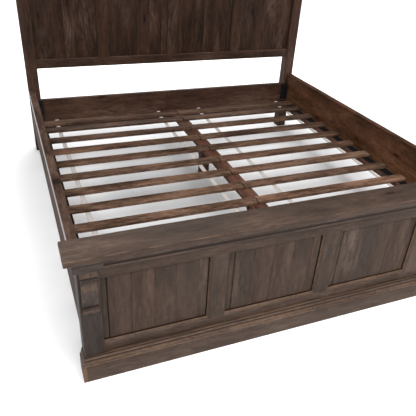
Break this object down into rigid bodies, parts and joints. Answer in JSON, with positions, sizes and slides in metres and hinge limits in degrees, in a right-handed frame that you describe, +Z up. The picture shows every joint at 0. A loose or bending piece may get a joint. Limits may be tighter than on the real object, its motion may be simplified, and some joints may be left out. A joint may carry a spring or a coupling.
{
  "type": "wooden bed frame",
  "caption": "King size wooden bed frame with a panelled headboard, a low corbelled footboard, deep side rails and two lift-out slat sets on a centre beam.",
  "frame": {"origin": "centre of the bed's footprint, on the floor", "axes": "+Y runs from the footboard to the headboard, +X across the bed, +Z up"},
  "size_m": [2.15, 2.271, 1.4],
  "materials": {
    "frame_wood": "dark brown stained reclaimed wood, grey-brown cast, satin wax",
    "cap_wood": "warmer brown plank with saw marks and knots, satin wax",
    "panel_wood": "streaky dark brown boards, matt satin",
    "slat_wood": "mid brown stained softwood slats, matt",
    "beam_wood": "reddish brown stained rail and beam wood, matt",
    "black_steel": "black powder coat, low sheen"
  },
  "bodies": {
    "frame": {"head_post_left": "frame_wood", "head_post_right": "frame_wood", "head_cap": "cap_wood", "head_crown": "frame_wood", "head_top_rail": "frame_wood", "head_bottom_rail": "frame_wood", "head_stile_left": "frame_wood", "head_stile_centre": "frame_wood", "head_stile_right": "frame_wood", "head_panel": "panel_wood", "head_plank": "frame_wood", "foot_post_left": "frame_wood", "foot_post_right": "frame_wood", "foot_corbel_left": "frame_wood", "foot_corbel_right": "frame_wood", "foot_cap": "cap_wood", "foot_crown": "frame_wood", "foot_top_rail": "frame_wood", "foot_bottom_rail": "frame_wood", "foot_stile_left": "frame_wood", "foot_stile_centre": "frame_wood", "foot_stile_right": "frame_wood", "foot_panel": "panel_wood", "foot_plinth": "frame_wood", "foot_ledger": "beam_wood", "side_rail_left": "frame_wood", "side_rail_right": "frame_wood", "cleat_left": "beam_wood", "cleat_right": "beam_wood", "centre_beam": "beam_wood", "centre_leg_foot": "beam_wood", "centre_leg_head": "beam_wood", "bracket_head_left": "black_steel", "bracket_head_right": "black_steel", "bracket_foot_left": "black_steel", "bracket_foot_right": "black_steel"},
    "slats_left": {"slat_left_01": "slat_wood", "slat_left_02": "slat_wood", "slat_left_03": "slat_wood", "slat_left_04": "slat_wood", "slat_left_05": "slat_wood", "slat_left_06": "slat_wood", "slat_left_07": "slat_wood", "slat_left_08": "slat_wood", "slat_left_09": "slat_wood", "slat_left_10": "slat_wood", "slat_left_11": "slat_wood", "slat_left_12": "slat_wood"},
    "slats_right": {"slat_right_01": "slat_wood", "slat_right_02": "slat_wood", "slat_right_03": "slat_wood", "slat_right_04": "slat_wood", "slat_right_05": "slat_wood", "slat_right_06": "slat_wood", "slat_right_07": "slat_wood", "slat_right_08": "slat_wood", "slat_right_09": "slat_wood", "slat_right_10": "slat_wood", "slat_right_11": "slat_wood", "slat_right_12": "slat_wood"}
  },
  "joints": [
    {"name": "lift_slats_left", "type": "slide", "parent": "frame", "child": "slats_left", "axis": [0, 0, 1], "range_m": [0, 0.35]},
    {"name": "lift_slats_right", "type": "slide", "parent": "frame", "child": "slats_right", "axis": [0, 0, 1], "range_m": [0, 0.35]}
  ]
}
